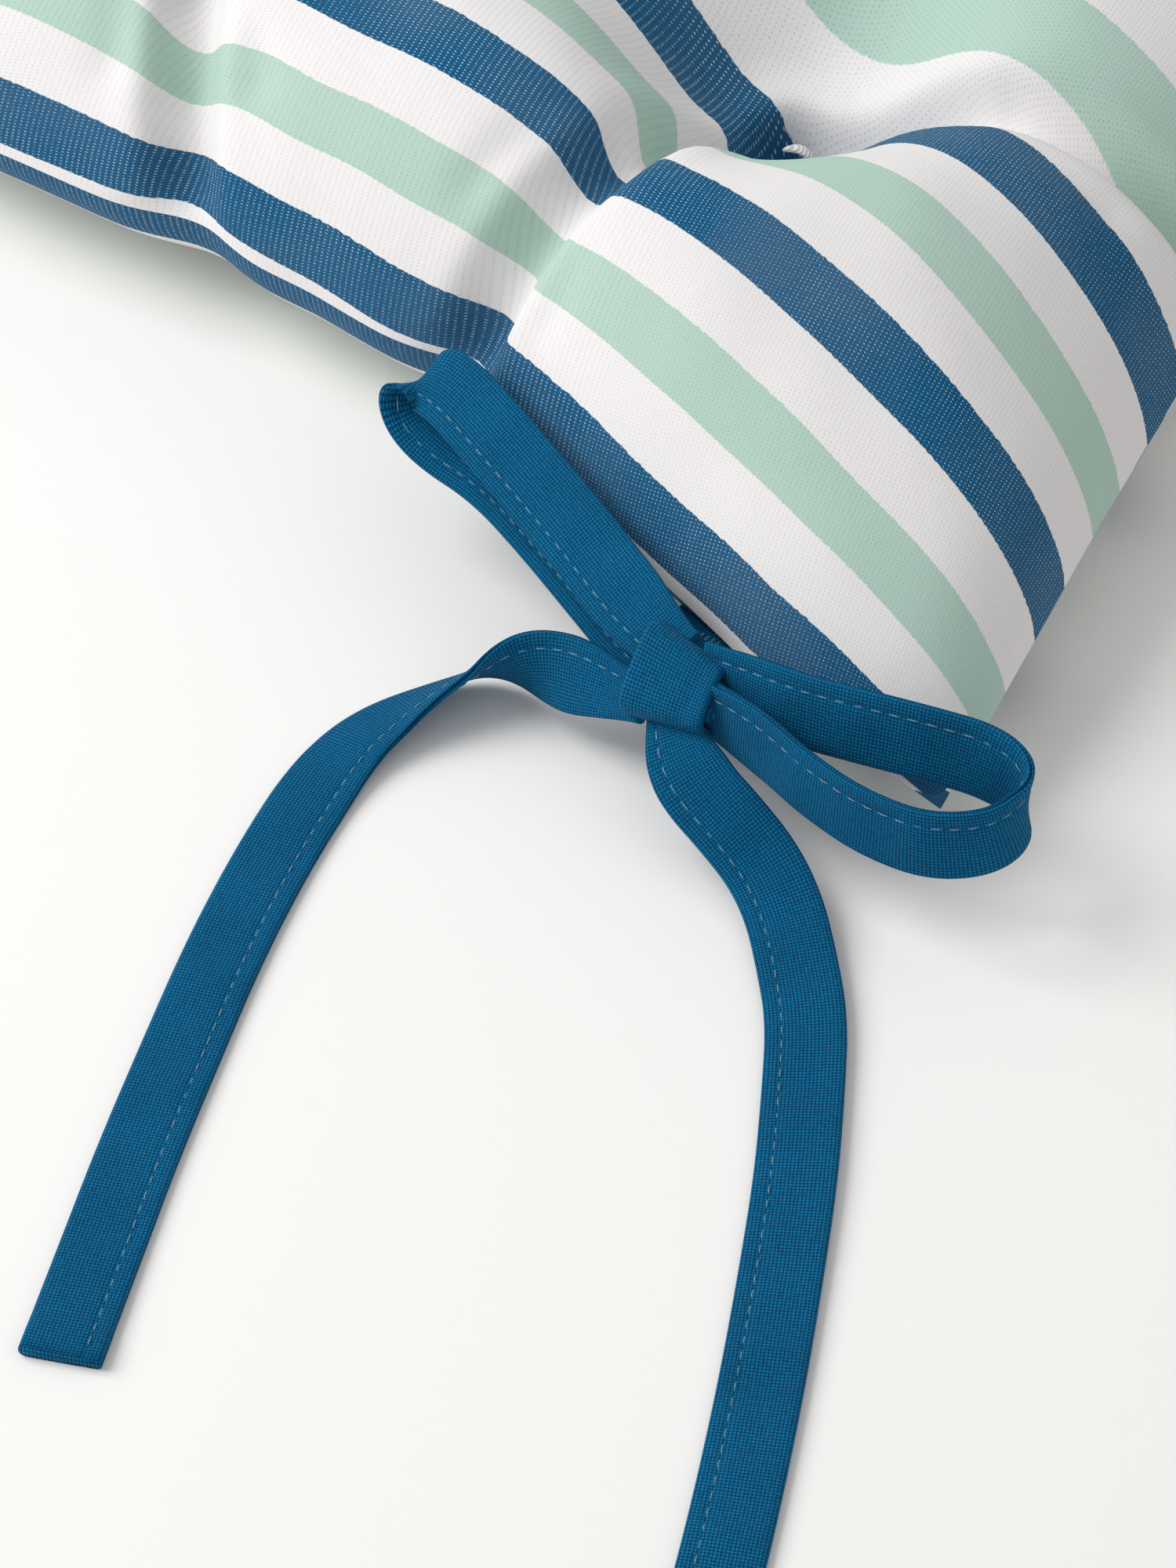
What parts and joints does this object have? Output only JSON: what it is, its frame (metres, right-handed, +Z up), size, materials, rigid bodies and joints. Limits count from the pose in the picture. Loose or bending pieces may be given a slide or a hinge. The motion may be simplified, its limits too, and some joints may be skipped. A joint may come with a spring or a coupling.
{
  "type": "chair seat pad",
  "caption": "Square tufted seat pad with a woven striped cotton cover over layered wadding, with tapes tied in a bow at each back corner.",
  "frame": {"origin": "middle of the flat underside, on the surface that the pad rests on", "axes": "+Z up, +X along the edge that carries the ties, +Y out of that edge"},
  "size_m": [0.5428, 0.5776, 0.0627],
  "materials": {
    "striped_cotton": "woven stripes in white, pale mint and blue, matt",
    "blue_tape": "plain-weave cotton tape, folded and topstitched, matt",
    "wadding": "polyester wadding, matt",
    "tufting_twine": "waxed cotton twine, matt",
    "sewing_thread": "pale thread, satin"
  },
  "bodies": {
    "pad": {"top_cover": "striped_cotton", "bottom_cover": "striped_cotton", "upper_wadding": "wadding", "core_wadding": "wadding", "lower_wadding": "wadding", "tuft_threads": "tufting_twine", "tuft_stitches_top": "tufting_twine", "tuft_stitches_bottom": "tufting_twine", "seam_stitching": "sewing_thread", "closing_stitches": "sewing_thread", "left_lower_tie_root": "blue_tape", "left_upper_tie_root": "blue_tape", "left_bar_tack": "sewing_thread", "right_lower_tie_root": "blue_tape", "right_upper_tie_root": "blue_tape", "right_bar_tack": "sewing_thread"},
    "left_bow": {"left_bow_knot": "blue_tape", "left_inner_loop": "blue_tape", "left_outer_loop": "blue_tape"},
    "left_inner_tail": {"left_inner_tail": "blue_tape"},
    "left_outer_tail": {"left_outer_tail": "blue_tape"},
    "right_bow": {"right_bow_knot": "blue_tape", "right_inner_loop": "blue_tape", "right_outer_loop": "blue_tape"},
    "right_inner_tail": {"right_inner_tail": "blue_tape"},
    "right_outer_tail": {"right_outer_tail": "blue_tape"}
  },
  "joints": [
    {"name": "left_bow_lift", "type": "hinge", "parent": "pad", "child": "left_bow", "pos_m": [-0.169, 0.215, 0.0176], "axis": [1, 0, 0], "range_deg": [0, 60]},
    {"name": "left_inner_tail_sweep", "type": "hinge", "parent": "left_bow", "child": "left_inner_tail", "pos_m": [-0.1609, 0.2243, 0.0136], "axis": [0, 0, 1], "range_deg": [-20, 15]},
    {"name": "left_outer_tail_sweep", "type": "hinge", "parent": "left_bow", "child": "left_outer_tail", "pos_m": [-0.173, 0.2302, 0.0132], "axis": [0, 0, 1], "range_deg": [-15, 20]},
    {"name": "right_bow_lift", "type": "hinge", "parent": "pad", "child": "right_bow", "pos_m": [0.169, 0.215, 0.0176], "axis": [1, 0, 0], "range_deg": [0, 60]},
    {"name": "right_inner_tail_sweep", "type": "hinge", "parent": "right_bow", "child": "right_inner_tail", "pos_m": [0.1609, 0.2243, 0.0136], "axis": [0, 0, 1], "range_deg": [-15, 20]},
    {"name": "right_outer_tail_sweep", "type": "hinge", "parent": "right_bow", "child": "right_outer_tail", "pos_m": [0.173, 0.2302, 0.0132], "axis": [0, 0, 1], "range_deg": [-20, 15]}
  ]
}
